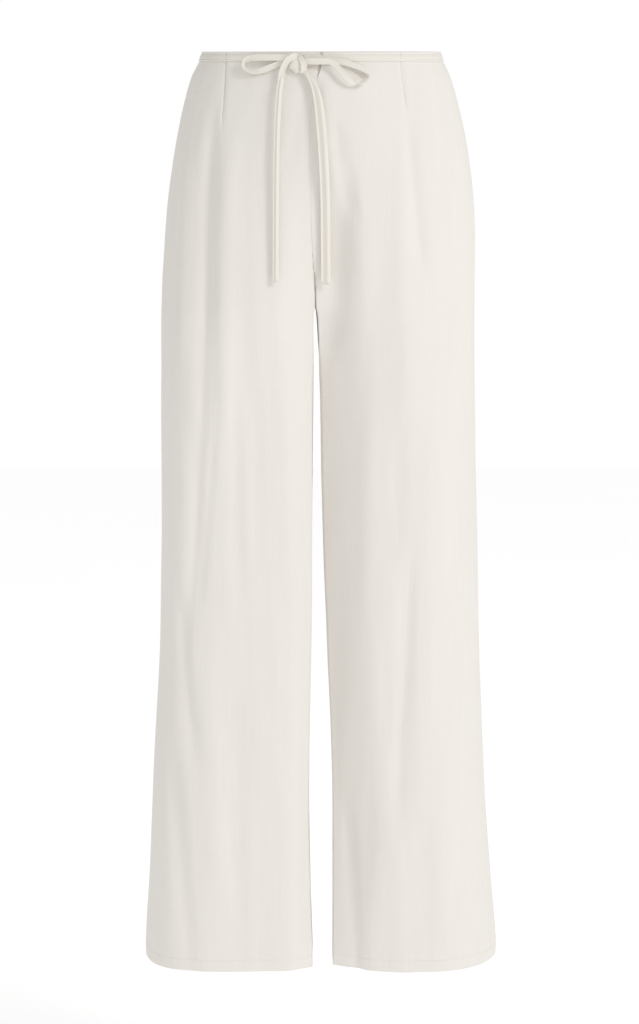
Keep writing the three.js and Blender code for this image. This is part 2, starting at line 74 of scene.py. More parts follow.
# Horizontal sections of the cloth's outside from the waist edge down to the hem, as in the solids, but with
# the crotch a little higher and the legs parted a little more below it.
SECTION_COLUMNS = ("z", "right_outer", "left_outer", "right_inner", "left_inner",
                   "front_depth", "back_depth", "leg_front", "leg_back", "legness")
SECTION_ROWS = (
    (0.009, 0.137, 0.137, 0, 0, 0.094, 0.096, 0.092, 0.094, 0),
    (-0.022, 0.1495, 0.1485, -0.005, -0.005, 0.099, 0.102, 0.097, 0.1, 0),
    (-0.06, 0.16, 0.1595, -0.012, -0.012, 0.104, 0.11, 0.101, 0.108, 0),
    (-0.11, 0.1695, 0.1695, -0.013, -0.013, 0.108, 0.119, 0.103, 0.115, 0),
    (-0.165, 0.177, 0.1755, -0.012, -0.012, 0.111, 0.126, 0.105, 0.119, 0.02),
    (-0.215, 0.1815, 0.1775, -0.01, -0.01, 0.112, 0.128, 0.106, 0.12, 0.08),
    (-0.25, 0.184, 0.1775, -0.008, -0.008, 0.112, 0.126, 0.106, 0.119, 0.2),
    (-0.276, 0.1848, 0.1775, -0.0074, -0.0074, 0.112, 0.1239, 0.1054, 0.1176, 0.42),
    (-0.286, 0.1851, 0.1776, -0.0092, -0.0058, 0.1118, 0.1221, 0.1048, 0.1163, 0.58),
    (-0.32, 0.1855, 0.1778, -0.0096, -0.0042, 0.111, 0.119, 0.104, 0.114, 0.85),
    (-0.37, 0.186, 0.1783, -0.0098, -0.0018, 0.11, 0.115, 0.103, 0.111, 1),
    (-0.508, 0.1866, 0.1815, -0.0105, 0.001, 0.108, 0.112, 0.101, 0.108, 1),
    (-0.674, 0.189, 0.186, -0.0122, 0.0066, 0.108, 0.11, 0.101, 0.106, 1),
    (-0.85, 0.1998, 0.1937, -0.0146, 0.0126, 0.108, 0.11, 0.104, 0.105, 1),
    (-0.96, 0.2048, 0.202, -0.0128, 0.0133, 0.108, 0.11, 0.106, 0.105, 1),
    (-1.051, 0.2095, 0.209, -0.0105, 0.0133, 0.108, 0.11, 0.108, 0.106, 1),
)

# How boxy the rings round the body and each leg are: 2 is an ellipse and more is squarer.
# back_inside is for the inner sides of the backs alone.
ROUND_COLUMNS = ("z", "torso", "right_side", "left_side", "back_inside")
ROUND_ROWS = (
    (0.009, 2.25, 2.3, 2.2, 2.2),
    (-0.11, 2.55, 2.5, 2.2, 2.2),
    (-0.3, 2.7, 2.9, 2.25, 2.2),
    (-0.508, 2.7, 3.1, 2.25, 2.6),
    (-0.85, 2.7, 3, 2.3, 4),
    (-1.051, 2.7, 2.9, 2.4, 6),
)

# The facets that the fronts turn towards each other: each falls from a line to a foot, given by x.
FACET_COLUMNS = ("z", "right_line", "right_foot", "right_fall", "left_line", "left_foot", "left_fall")
FACET_ROWS = (
    (-0.09, -0.046, -0.014, 0, 0.03, 0.006, 0),
    (-0.155, -0.046, -0.013, 0.006, 0.039, 0.016, 0.006),
    (-0.215, -0.046, -0.012, 0.014, 0.046, 0.016, 0.014),
    (-0.284, -0.044, -0.01, 0.02, 0.049, 0.005, 0.024),
    (-0.29, -0.044, -0.01, 0.02, 0.049, 0.004, 0.026),
    (-0.34, -0.042, -0.011, 0.016, 0.05, 0.001, 0.031),
    (-0.44, -0.04, -0.012, 0.012, 0.051, 0.002, 0.034),
    (-0.67, -0.038, -0.014, 0.01, 0.056, 0.007, 0.034),
    (-0.905, -0.04, -0.016, 0.012, 0.064, 0.014, 0.032),
    (-1.051, -0.036, -0.012, 0.014, 0.06, 0.014, 0.022),
)
FACET_EDGE = 0.22
INNER_CROWN = 0.05
INNER_LEAN = 0.0008
INNER_LEAN_RUN = 0.03

# The line that each panel's dart and the fold below it follow, as x at heights down the leg.
DART_LINE_COLUMNS = ("z", "front_right", "front_left", "back_right", "back_left")
DART_LINE_ROWS = (
    (0.009, -0.107, 0.088, -0.076, 0.076),
    (-0.08, -0.113, 0.098, -0.08, 0.08),
    (-0.15, -0.127, 0.104, -0.085, 0.085),
    (-0.224, -0.13, 0.113, -0.09, 0.09),
    (-0.415, -0.136, 0.112, -0.1, 0.098),
    (-0.574, -0.147, 0.098, -0.108, 0.102),
    (-0.8, -0.15, 0.09, -0.112, 0.106),
    (-1.051, -0.142, 0.1, -0.112, 0.11),
)
DART_POINTS = {"front_right": -0.078, "front_left": -0.058, "back_right": -0.11, "back_left": -0.11}

# The straight grain lies this far from the middle, and each piece's threads start at a place of their own.
GRAIN_LINE = 0.09
GRAIN_SHIFTS = {"front_right": 0.0, "front_left": 1.0, "back_right": 2.0, "back_left": 3.0}

# Darts and soft folds. Each runs from top_z to low_z through the x at its top, middle and low end.
# width is half the fold's breadth along the cloth. height is out from the cloth, so a trough's is negative.
FOLD_COLUMNS = ("panel", "top_z", "low_z", "top_x", "mid_x", "low_x", "width", "height")
FOLD_ROWS = (
    ("front_right", 0.012, -0.088, -0.107, -0.109, -0.112, 0.0026, -0.0011),
    ("front_left", 0.012, -0.068, 0.088, 0.092, 0.096, 0.0026, -0.0011),
    ("back_right", 0.012, -0.12, -0.076, -0.079, -0.083, 0.0026, -0.0011),
    ("back_left", 0.012, -0.12, 0.076, 0.079, 0.083, 0.0026, -0.0011),
    ("front_right", -0.04, -0.36, -0.12, -0.1285, -0.133, 0.0085, -0.0055),
    ("front_right", -0.27, -0.7, -0.132, -0.141, -0.158, 0.009, -0.0036),
    ("front_right", -0.04, -0.48, -0.102, -0.108, -0.109, 0.015, 0.006),
    ("front_right", -0.07, -0.38, -0.148, -0.156, -0.158, 0.011, 0.0032),
    ("front_right", -0.08, -0.4, -0.074, -0.078, -0.07, 0.014, 0.0014),
    ("front_right", -0.3, -0.66, -0.095, -0.096, -0.092, 0.006, -0.0014),
    ("front_right", -0.58, -0.83, -0.165, -0.156, -0.145, 0.009, -0.0042),
    ("front_right", -0.76, -1.1, -0.178, -0.164, -0.15, 0.011, -0.0042),
    ("front_right", -0.61, -1, -0.124, -0.122, -0.12, 0.014, 0.0024),
    ("front_right", -0.62, -1.12, -0.097, -0.098, -0.1, 0.014, -0.0018),
    ("front_right", -0.82, -1.12, -0.06, -0.062, -0.066, 0.018, -0.0016),
    ("front_left", -0.045, -0.26, 0.096, 0.105, 0.117, 0.0085, -0.0036),
    ("front_left", -0.07, -0.48, 0.086, 0.092, 0.098, 0.016, 0.0026),
    ("front_left", -0.05, -0.19, 0.013, 0.023, 0.036, 0.008, -0.0034),
    ("front_left", -0.12, -0.36, 0.02, 0.0175, 0.008, 0.015, -0.006),
    ("front_left", -0.3, -0.64, 0.122, 0.128, 0.124, 0.018, 0.0016),
    ("front_left", -0.53, -0.92, 0.099, 0.093, 0.086, 0.009, -0.0034),
    ("front_left", -0.72, -1.12, 0.134, 0.14, 0.146, 0.018, 0.002),
    ("front_left", -0.82, -1.12, 0.028, 0.036, 0.046, 0.01, -0.003),
    ("front_left", -0.82, -1.12, 0.084, 0.09, 0.096, 0.016, 0.0032),
    ("back_right", -0.11, -0.42, -0.084, -0.092, -0.098, 0.014, -0.0032),
    ("back_right", -0.06, -0.38, -0.118, -0.128, -0.136, 0.016, 0.0026),
    ("back_right", -0.29, -0.62, -0.044, -0.052, -0.066, 0.014, -0.0034),
    ("back_right", -0.42, -0.8, -0.13, -0.122, -0.112, 0.016, -0.003),
    ("back_right", -0.7, -1.12, -0.07, -0.076, -0.084, 0.016, 0.0032),
    ("back_right", -0.78, -1.12, -0.14, -0.15, -0.154, 0.014, -0.0032),
    ("back_left", -0.11, -0.4, 0.084, 0.09, 0.1, 0.014, -0.0032),
    ("back_left", -0.06, -0.4, 0.12, 0.13, 0.134, 0.016, 0.0026),
    ("back_left", -0.29, -0.6, 0.04, 0.048, 0.062, 0.014, -0.0034),
    ("back_left", -0.44, -0.84, 0.128, 0.118, 0.112, 0.016, -0.003),
    ("back_left", -0.68, -1.12, 0.074, 0.078, 0.08, 0.016, 0.0032),
    ("back_left", -0.8, -1.12, 0.15, 0.156, 0.16, 0.014, -0.0032),
)

# Smaller creases and ridges than the solids have.
FINE_FOLD_ROWS = (
    ("front_left", -0.005, -0.15, 0.008, 0.008, 0.01, 0.018, 0.0028),
    ("front_right", -0.35, -0.6, -0.07, -0.074, -0.072, 0.007, -0.0009),
    ("front_right", -0.37, -0.66, -0.117, -0.1295, -0.1435, 0.0034, -0.0022),
    ("front_right", -0.2, -0.44, -0.118, -0.12, -0.119, 0.0044, -0.0012),
    ("front_left", -0.55, -0.78, 0.103, 0.1, 0.093, 0.0034, -0.0021),
    ("front_left", -0.1, -0.19, 0.03, 0.036, 0.043, 0.005, -0.0014),
    ("front_right", -0.5, -0.66, -0.116, -0.112, -0.106, 0.006, 0.0008),
    ("front_right", -0.66, -0.82, -0.12, -0.117, -0.11, 0.007, -0.0009),
    ("front_right", -0.86, -1.0, -0.11, -0.1, -0.094, 0.006, -0.0008),
    ("front_left", -0.2, -0.36, 0.15, 0.152, 0.15, 0.009, 0.001),
    ("front_left", -0.4, -0.56, 0.088, 0.086, 0.09, 0.006, -0.0009),
    ("front_left", -0.62, -0.8, 0.07, 0.074, 0.076, 0.007, -0.0009),
    ("front_left", -0.86, -1.02, 0.116, 0.12, 0.124, 0.007, -0.001),
    ("back_right", -0.16, -0.3, -0.05, -0.046, -0.05, 0.008, 0.001),
    ("back_right", -0.34, -0.5, -0.15, -0.148, -0.142, 0.008, -0.0012),
    ("back_right", -0.56, -0.74, -0.09, -0.094, -0.1, 0.007, -0.001),
    ("back_right", -0.84, -1.02, -0.112, -0.108, -0.102, 0.007, 0.001),
    ("back_left", -0.15, -0.28, 0.046, 0.05, 0.052, 0.008, 0.001),
    ("back_left", -0.36, -0.54, 0.146, 0.15, 0.148, 0.008, -0.0012),
    ("back_left", -0.6, -0.78, 0.086, 0.09, 0.098, 0.007, -0.001),
    ("back_left", -0.86, -1.04, 0.124, 0.118, 0.112, 0.007, 0.001),
)
FOLD_FADE = 0.28
SEAM_CALM = 0.012

# Rows of a panel's grid, closer together at the waist edge, the facing's edge and the hem.
# Each band runs from start to end in its number of steps.
BAND_ROWS = (
    (0.009, 0.0086, 2),
    (0.0086, 0.0074, 3),
    (0.0074, 0.005, 2),
    (0.005, -0.038, 14),
    (-0.038, -0.046, 8),
    (-0.046, -0.36, 100),
    (-0.36, -1.0345, 196),
    (-1.0345, -1.039, 9),
    (-1.039, -1.0485, 5),
    (-1.0485, -1.0502, 3),
    (-1.0502, -1.051, 3),
)
# Columns of a panel's grid, closer together at its two seams and at its dart.
FROM_SEAM = (0, 0.0001, 0.00025, 0.00045, 0.0007, 0.0011, 0.0017, 0.0026, 0.004)
FROM_DART = (-0.004, -0.0026, -0.0017, -0.0011, -0.0007, -0.00035, 0,
             0.00035, 0.0007, 0.0011, 0.0017, 0.0026, 0.004)
STEPS_TO_DART = 27
STEPS_FROM_DART = 31
STEPS_INSIDE = 17
INSIDE_OF_LEG = 0.058
INSIDE_OF_TORSO = 0.006
INSIDE_RUN = 0.02
CURVE_STEPS = 240
FLAT_STEPS = 30

# The bow's strands, as in the solids: x, z and distance out from the cloth of the front.
# lean is the angle of the strip's breadth from upright, seen from the front, and tip turns the breadth's
# upper edge out from the cloth, both in degrees.
STRAND_COLUMNS = ("x", "z", "out", "lean", "tip", "width")
LOOP_RIGHT_ROWS = (
    (-0.0372, 0.0026, 0.0056, 0, 0, 0.007),
    (-0.057, 0.003, 0.0075, 0, 0, 0.007),
    (-0.077, 0.0026, 0.007, 0, 0, 0.007),
    (-0.0862, -0.0012, 0.0056, 46, 44, 0.007),
    (-0.087, -0.0082, 0.0048, 96, 56, 0.007),
    (-0.0792, -0.0126, 0.0044, 156, 44, 0.007),
    (-0.067, -0.0116, 0.0038, 205, 12, 0.007),
    (-0.055, -0.007, 0.0035, 208, 0, 0.007),
    (-0.045, -0.003, 0.0035, 200, 0, 0.007),
    (-0.0372, -0.0014, 0.0035, 186, 0, 0.007),
)
LOOP_LEFT_ROWS = (
    (-0.0186, -0.0012, 0.0062, 0, 0, 0.007),
    (-0.002, -0.0012, 0.008, 0, 0, 0.007),
    (0.011, -0.0022, 0.009, -16, 0, 0.007),
    (0.0195, -0.0096, 0.0098, -44, 0, 0.007),
    (0.028, -0.019, 0.0098, -48, 0, 0.007),
    (0.0375, -0.0246, 0.0086, -62, 16, 0.007),
    (0.046, -0.024, 0.007, -110, 44, 0.007),
    (0.0515, -0.0175, 0.0056, -150, 58, 0.007),
    (0.047, -0.011, 0.0048, -196, 46, 0.007),
    (0.036, -0.006, 0.0042, -200, 24, 0.007),
    (0.022, -0.0018, 0.0035, -190, 0, 0.007),
    (0.006, -0.001, 0.0035, -182, 0, 0.007),
    (-0.0186, -0.0026, 0.0035, -180, 0, 0.007),
)
TAIL_RIGHT_ROWS = (
    (-0.0418, -0.0126, 0.0054, 66, 0, 0.003),
    (-0.0441, -0.0176, 0.0062, 76, 0, 0.0052),
    (-0.0458, -0.025, 0.0073, 80, 0, 0.0068),
    (-0.0476, -0.04, 0.0081, 86, 0, 0.007),
    (-0.05, -0.088, 0.0077, 90, 0, 0.007),
    (-0.051, -0.155, 0.0071, 90, 0, 0.007),
    (-0.0515, -0.246, 0.0057, 90, 0, 0.007),
)
TAIL_LEFT_ROWS = (
    (-0.0214, -0.0108, 0.0052, 40, 0, 0.0056),
    (-0.0146, -0.0184, 0.0062, 46, 0, 0.0062),
    (-0.0088, -0.0272, 0.0068, 58, 0, 0.0076),
    (-0.0046, -0.04, 0.0075, 72, 0, 0.0094),
    (-0.002, -0.057, 0.0079, 82, 0, 0.0104),
    (0.0006, -0.084, 0.0079, 86, 0, 0.0108),
    (0.0026, -0.115, 0.0077, 88, 0, 0.0108),
    (0.0042, -0.155, 0.0073, 90, 0, 0.0108),
    (0.005, -0.25, 0.0059, 90, 0, 0.0108),
)
# The knot: the right end's start, which comes over the knot's top and crosses the loop, and the turn of the
# strip that comes down over the knot's front.
KNOT_CROSSING_ROWS = (
    (-0.0258, 0.004, 0.0056, 10, 0, 0.006),
    (-0.0312, 0.0042, 0.009, 22, 0, 0.0066),
    (-0.0372, 0.0004, 0.0106, 46, 0, 0.007),
    (-0.0412, -0.0056, 0.01, 62, 0, 0.0068),
    (-0.0436, -0.0118, 0.0088, 72, 0, 0.0066),
    (-0.045, -0.018, 0.0078, 78, 0, 0.0066),
    (-0.0461, -0.0262, 0.0066, 83, 0, 0.0064),
)
KNOT_TOP_ROWS = (
    (-0.0282, 0.0042, 0.0046, -14, 0, 0.0052),
    (-0.0248, 0.0032, 0.0088, -28, 0, 0.0058),
    (-0.0218, 0.0004, 0.011, -50, 0, 0.0064),
    (-0.02, -0.0044, 0.0114, -74, 0, 0.0066),
    (-0.0198, -0.0096, 0.0098, -90, 0, 0.0066),
    (-0.0206, -0.0142, 0.0054, -100, 0, 0.006),
)
# The wad of cloth inside the knot, and the folds round it.
KNOT_CORE = {"x": -0.0268, "z": -0.005, "out": 0.0046, "half_width": 0.0102,
             "half_depth": 0.0056, "half_height": 0.0096}
# Each fold has a direction and a width round the knot in degrees, and its depth as a share of the size.
KNOT_FOLD_ROWS = ((100, 20, 0.26), (35, 17, 0.16), (-60, 15, 0.16), (160, 17, 0.1), (-130, 20, 0.18))
STRAND_STEPS = 12
PROFILE_STEPS = 16
STRIP_SQUARENESS = 6
STRIP_GROOVE = {"depth": 0.00022, "width": 0.05}
WAIST_TIE = {"stitched": 0.32, "groove": 0.00016, "groove_width": 0.06, "wave": 0.0001, "wave_pitch": 0.012}

# The strip's section: places across its breadth from -0.5 to 0.5, and how far the cloth stands out there.
CUPPED_STRIP = ((-0.5, 0.0005), (-0.2, 0), (0.2, 0), (0.5, 0.0005))
RIGHT_END_STRIP = ((-0.5, 0.0004), (-0.22, 0), (0.02, 0.0018), (0.5, 0.0004))
LEFT_END_STRIP = ((-0.5, 0.0006), (-0.32, -0.0006), (0.24, 0.0024), (0.5, 0.0008))

# Places of their own for the threads of the smaller pieces.
UNDERLAP_GRAIN, STRAND_GRAIN, KNOT_GRAIN, WAIST_GRAIN, THREAD_GRAIN = 4, 5.0, 6, 7, 9


def table(columns, rows):
    """A table's rows as one array for each named column."""
    return {name: np.array([row[i] for row in rows]) for i, name in enumerate(columns)}


SECTIONS = table(SECTION_COLUMNS, SECTION_ROWS)
ROUNDS = table(ROUND_COLUMNS, ROUND_ROWS)
FACETS = table(FACET_COLUMNS, FACET_ROWS)
DART_LINES = table(DART_LINE_COLUMNS, DART_LINE_ROWS)
FOLDS = [dict(zip(FOLD_COLUMNS, row)) for row in FOLD_ROWS + FINE_FOLD_ROWS]


def smooth_through(places, values, at):
    """A smooth curve through values at rising places, which overshoots none of them."""
    step = np.diff(values) / np.diff(places)
    above, below = step[:-1], step[1:]
    same = above * below > 0
    slope = np.zeros(len(values))
    slope[1:-1][same] = 2 * (above * below)[same] / (above + below)[same]
    held = np.clip(at, places[0], places[-1])
    i = np.clip(np.searchsorted(places, held, side="right") - 1, 0, len(places) - 2)
    span = places[i + 1] - places[i]
    t = (held - places[i]) / span
    rise = values[i + 1] - values[i]
    start, end = slope[i] * span, slope[i + 1] * span
    return values[i] + t * start + t**2 * (3 * rise - 2 * start - end) + t**3 * (start + end - 2 * rise)


def column_at(rows, column, z):
    """A column's value at each height, along the same smooth curve as in the solids."""
    return smooth_through(rows["z"][::-1], rows[column][::-1].astype(float), z)


def smooth(t):
    held = np.clip(t, 0, 1)
    return held * held * (3 - 2 * held)


def bell(t):
    return np.exp(-t * t)


def soft_ramp(t):
    """From 0 to 1 in a straight line with soft corners, as t goes from 0 to 1."""
    eased = lambda u: (u + np.sqrt(u * u + FACET_EDGE**2)) / 2
    return eased(t) - eased(t - 1)


def half_centre_gap(face, z):
    """Half of the gap between the two panels of a face, wide at the slit below the front's waist edge."""
    if face == "back":
        return np.full_like(z, SEAM_GAP / 2)
    opened = smooth((z - SLIT_CLOSED) / (SLIT_END - SLIT_CLOSED))
    return SEAM_GAP / 2 + opened * (SLIT_GAP - SEAM_GAP) / 2


def inner_edge_depth(face, z, section_depth):
    """How far from the middle, to the front or back, a panel's inner edge lies at each height."""
    rise = RISE_CURVE[face]
    down = np.clip((CROTCH + rise - z) / rise, 0, 1)
    curve = section_depth * np.sqrt(1 - down**2) + SEAM_GAP / 2
    return np.where(z <= CROTCH, SEAM_GAP / 2, np.minimum(section_depth, curve))


def run_length(x, y):
    """Distance along each section up to each of its points."""
    step = np.hypot(np.diff(x, axis=1), np.diff(y, axis=1))
    return np.concatenate([np.zeros((len(x), 1)), np.cumsum(step, axis=1)], axis=1)


def rounded(place, roundness):
    """How far a ring stands out at each place from -1 to 1 across it, as a share of its depth."""
    return np.clip(1 - np.abs(place) ** roundness, 0, 1) ** (1 / roundness)


def plain_sections(side, face, z):
    """Horizontal sections of a panel, a row for each height, from the side seam round to the inner edge."""
    sign = -1 if side == "right" else 1
    outward = -1 if face == "front" else 1
    column = lambda name, rows=SECTIONS: column_at(rows, name, z)[:, None]
    outer = column(f"{side}_outer")
    inner = sign * column(f"{side}_inner") + half_centre_gap(face, z)[:, None]
    lean = INNER_LEAN * smooth((CROTCH - z) / INNER_LEAN_RUN)[:, None]
    seam_inner = inner + lean
    if face == "back":
        inner = inner + 2 * lean
    middle, half = (outer + inner) / 2, (outer - inner) / 2
    turn = np.cos(np.linspace(0, math.pi, CURVE_STEPS + 1))[None]
    across = middle + half * turn
    torso = column(f"{face}_depth") * rounded(across / outer, column("torso", ROUNDS))
    leg_roundness = np.where(turn > 0, column(f"{side}_side", ROUNDS), column("back_inside", ROUNDS))
    leg = column(f"leg_{face}") * rounded(turn, leg_roundness)
    if face == "front":
        leg = np.where(turn > 0, leg, column("leg_front") * (1 - INNER_CROWN * turn**2))
    legness = column("legness")
    depth = (1 - legness) * torso + legness * leg
    if face == "front":
        line, foot = sign * column(f"{side}_line", FACETS), sign * column(f"{side}_foot", FACETS)
        fall = lambda x: soft_ramp((line - x) / (line - foot))
        depth = depth - column(f"{side}_fall", FACETS) * fall(across) / fall(inner)
    reached = depth[:, -1]
    end = inner_edge_depth(face, z, reached)
    share = np.arange(1, FLAT_STEPS + 1)[None] / FLAT_STEPS
    flat = reached[:, None] + (end - reached)[:, None] * share
    x = np.concatenate([sign * across, sign * (inner + (seam_inner - inner) * share)], axis=1)
    y = outward * np.concatenate([depth, flat], axis=1)
    return x, y


def distance_at(x, s, target):
    """The distance along each section at which it passes each target x, counted from the side seam."""
    towards = 1 if x[0, CURVE_STEPS] > x[0, 0] else -1
    curve = slice(0, CURVE_STEPS + 1)
    return np.array([np.interp(towards * place, towards * across[curve], along[curve])
                     for across, along, place in zip(x, s, target)])


def outward_sign(side, face):
    """Which way round a panel's sections run: 1 with the cloth's outside on the right, -1 on the left."""
    return (1 if side == "right" else -1) * (1 if face == "front" else -1)


def fold_line(fold, t):
    """A fold's x as t goes from 0 at its top, through its middle, to 1 at its low end."""
    top, middle, low = fold["top_x"], fold["mid_x"], fold["low_x"]
    return top * (1 - t) * (1 - 2 * t) + 4 * middle * t * (1 - t) + low * t * (2 * t - 1)


def folded_sections(side, face, z):
    """Sections with the panel's darts and folds worked into them, and no fold at its seams."""
    x, y = plain_sections(side, face, z)
    s = run_length(x, y)
    bulge = np.zeros_like(x)
    for fold in FOLDS:
        if fold["panel"] != f"{face}_{side}":
            continue
        t = (fold["top_z"] - z) / (fold["top_z"] - fold["low_z"])
        strength = smooth(t / FOLD_FADE) * smooth((1 - t) / FOLD_FADE)
        centre = distance_at(x, s, fold_line(fold, t))
        bulge += (fold["height"] * strength)[:, None] * bell((s - centre[:, None]) / fold["width"])
    bulge *= smooth(s / SEAM_CALM) * smooth((s[:, -1:] - s) / SEAM_CALM)
    sign = outward_sign(side, face)
    along_x, along_y = np.gradient(x, axis=1), np.gradient(y, axis=1)
    length = np.maximum(np.hypot(along_x, along_y), 1e-9)
    x, y = x + bulge * sign * along_y / length, y - bulge * sign * along_x / length
    return x, y, run_length(x, y)


def panel_heights():
    heights = [BAND_ROWS[0][0]]
    for start, end, steps in BAND_ROWS:
        heights += [start + (end - start) * (i + 1) / steps for i in range(steps)]
    return np.array(heights)


def even_steps(start, end, steps):
    """Evenly spaced distances after start, up to and with end, a row for each section."""
    share = (np.arange(steps) + 1) / steps
    return start[:, None] + (end - start)[:, None] * share


def column_distances(side, face, z, x, s):
    """Distances along each section for the panel's columns, and the dart line's own distance."""
    last = s[:, -1]
    dart = distance_at(x, s, column_at(DART_LINES, f"{face}_{side}", z))
    corner = last - s[:, CURVE_STEPS]
    below = smooth((CROTCH + INSIDE_RUN - z) / INSIDE_RUN)
    turn = last - np.maximum(corner, INSIDE_OF_TORSO + (INSIDE_OF_LEG - INSIDE_OF_TORSO) * below)
    zero = np.zeros_like(last)
    seam = np.array(FROM_SEAM)
    return np.concatenate([
        zero[:, None] + seam,
        even_steps(zero + seam[-1], dart + FROM_DART[0], STEPS_TO_DART)[:, :-1],
        dart[:, None] + np.array(FROM_DART),
        even_steps(dart + FROM_DART[-1], turn, STEPS_FROM_DART),
        even_steps(turn, last - seam[-1], STEPS_INSIDE)[:, :-1],
        last[:, None] - seam[::-1],
    ], axis=1), dart


def grid_normals(points, sign):
    """The direction out of the cloth at each point of a panel's grid."""
    across = np.gradient(points, axis=1)
    down = np.gradient(points, axis=0)
    out = sign * np.cross(across, -down)
    return out / np.maximum(np.linalg.norm(out, axis=2, keepdims=True), 1e-12)


def unevenness(s, z, seed):
    """A soft random waviness of the cloth, longer down the leg than across it, about 1 at its highest."""
    draw = np.random.default_rng(seed)
    count, widest = WAVES["count"], WAVES["breadths"][1]
    breadths = draw.uniform(*WAVES["breadths"], count)
    lengths = draw.uniform(*WAVES["lengths"], count)
    turns = draw.uniform(0, math.tau, count)
    total = np.zeros_like(s)
    for across, down, turn in zip(breadths, lengths, turns):
        total += np.sin(math.tau * (s / across + z / down) + turn) * math.sqrt(across / widest)
    return total / math.sqrt(count)


def pucker(sizes, along, away):
    """Small puckers beside a line of stitching, at distances along it and away from it."""
    drift = sizes["wander"] * np.sin(along / sizes["wander_pitch"])
    return sizes["height"] * np.sin(math.tau * along / sizes["pitch"] + drift) * bell(away / sizes["reach"])


class Panel:
    """One leg piece: its outer grid, the direction out at each point, and its distances across and down."""

    def __init__(self, side, face):
        self.side, self.face, self.name = side, face, f"{face}_{side}"
        self.sign = outward_sign(side, face)
        z = panel_heights()
        x, y, s = folded_sections(side, face, z)
        columns, dart = column_distances(side, face, z, x, s)
        at = lambda values: np.array([np.interp(c, ss, v) for c, ss, v in zip(columns, s, values)])
        self.s, self.last, self.z = columns, s[:, -1:], z[:, None]
        self.from_dart = columns - dart[:, None]
        base = np.stack([at(x), at(y), np.repeat(z[:, None], columns.shape[1], axis=1)], axis=2)
        self.normal = grid_normals(base, self.sign)
        self.outer = base + self.normal * self.relief()[..., None]
        self.inner = base - self.normal * self.thickness()[..., None]
        self.grain = self.thread_places(x, s, columns)

    def relief(self):
        """Height of the finer form over the plain cloth: dart, facing, hem, puckers and waviness."""
        s, z, from_dart = self.s, self.z, self.from_dart
        lap = smooth(from_dart / 0.001) * smooth((DART["lap_width"] - from_dart) / 0.006)
        crease = bell(from_dart / DART["crease_width"])
        dart_on = smooth((z - DART_POINTS[self.name]) / DART["point_run"])
        dart = dart_on * (DART["lap"] * lap - DART["crease"] * crease)
        facing = FACING["step"] * smooth((z - FACING_EDGE) / FACING["run"])
        above_hem = z - (HEM + HEM_DEPTH)
        groove = bell(above_hem / HEM_LINE["groove_width"])
        hem = HEM_LINE["step"] * (smooth(-above_hem / HEM_LINE["run"]) - groove)
        edges = np.minimum(s, self.last - s)
        puckers = pucker(SEAM_PUCKER, z, edges) + pucker(HEM_PUCKER, s, above_hem - 0.001)
        calm = smooth(edges / WAVES["calm_at_seams"]) * smooth((WAIST_EDGE - z) / WAVES["calm_at_waist"])
        waves = WAVES["height"] * unevenness(s, z, sum(map(ord, self.name))) * calm
        return dart + facing + hem + puckers + waves - self.edge_roll()

    def edge_roll(self):
        """How far the cloth's outside turns in at its seams, its folded waist edge and its hem."""
        edges = np.minimum(self.s, self.last - self.s)
        ends = np.minimum(WAIST_EDGE - self.z, self.z - HEM)
        nearest = np.minimum(edges, ends)
        inside = np.clip(1 - nearest / EDGE_ROLL["radius"], 0, 1)
        return EDGE_ROLL["depth"] * (1 - np.sqrt(np.clip(1 - inside**2, 0, 1)))

    def thickness(self):
        """The cloth's thickness: single, faced at the waist and turned up at the hem."""
        faced = smooth((self.z - FACING_EDGE) / FACING["run"])
        hemmed = smooth((HEM + HEM_DEPTH - self.z) / HEM_LINE["thickening_run"])
        cloth = CLOTH + faced * (FACED_CLOTH - CLOTH) + hemmed * (HEM_CLOTH - CLOTH)
        return np.maximum(cloth - self.edge_roll(), THINNEST_CLOTH) + np.zeros_like(self.s)

    def thread_places(self, x, s, columns):
        """Distance across the threads from the straight grain down the panel's middle, and the height."""
        middle = np.full(len(x), GRAIN_LINE if self.side == "left" else -GRAIN_LINE)
        across = (columns - distance_at(x, s, middle)[:, None]) * self.sign
        zero = np.zeros_like(columns)
        return np.stack([across + GRAIN_SHIFTS[self.name], self.z + zero, zero], axis=2)

    def row_at(self, z):
        """The number of the grid's row that is nearest to a height."""
        return int(np.argmin(np.abs(self.z[:, 0] - z)))

    def y_at(self, x, z):
        """The panel's outside at x and z, by its grid."""
        rows = np.interp(-z, -self.z[:, 0], np.arange(len(self.z)))
        upper = np.floor(rows).astype(int).clip(0, len(self.z) - 2)
        share = rows - upper

        def on_row(row, place):
            line = self.outer[row, :-STEPS_INSIDE]
            line = line[np.argsort(line[:, 0])]
            return np.interp(place, line[:, 0], line[:, 1])

        return np.array([on_row(row, place) * (1 - t) + on_row(row + 1, place) * t
                         for place, row, t in zip(x, upper, share)])


def facing_out(points, quads):
    """The quads, all turned over if they enclose less than nothing."""
    corner = points[quads]
    volume = 0.0
    for a, b, c in ((0, 1, 2), (0, 2, 3)):
        volume += np.einsum("ij,ij->i", corner[:, a], np.cross(corner[:, b], corner[:, c])).sum()
    return quads if volume > 0 else quads[:, ::-1]


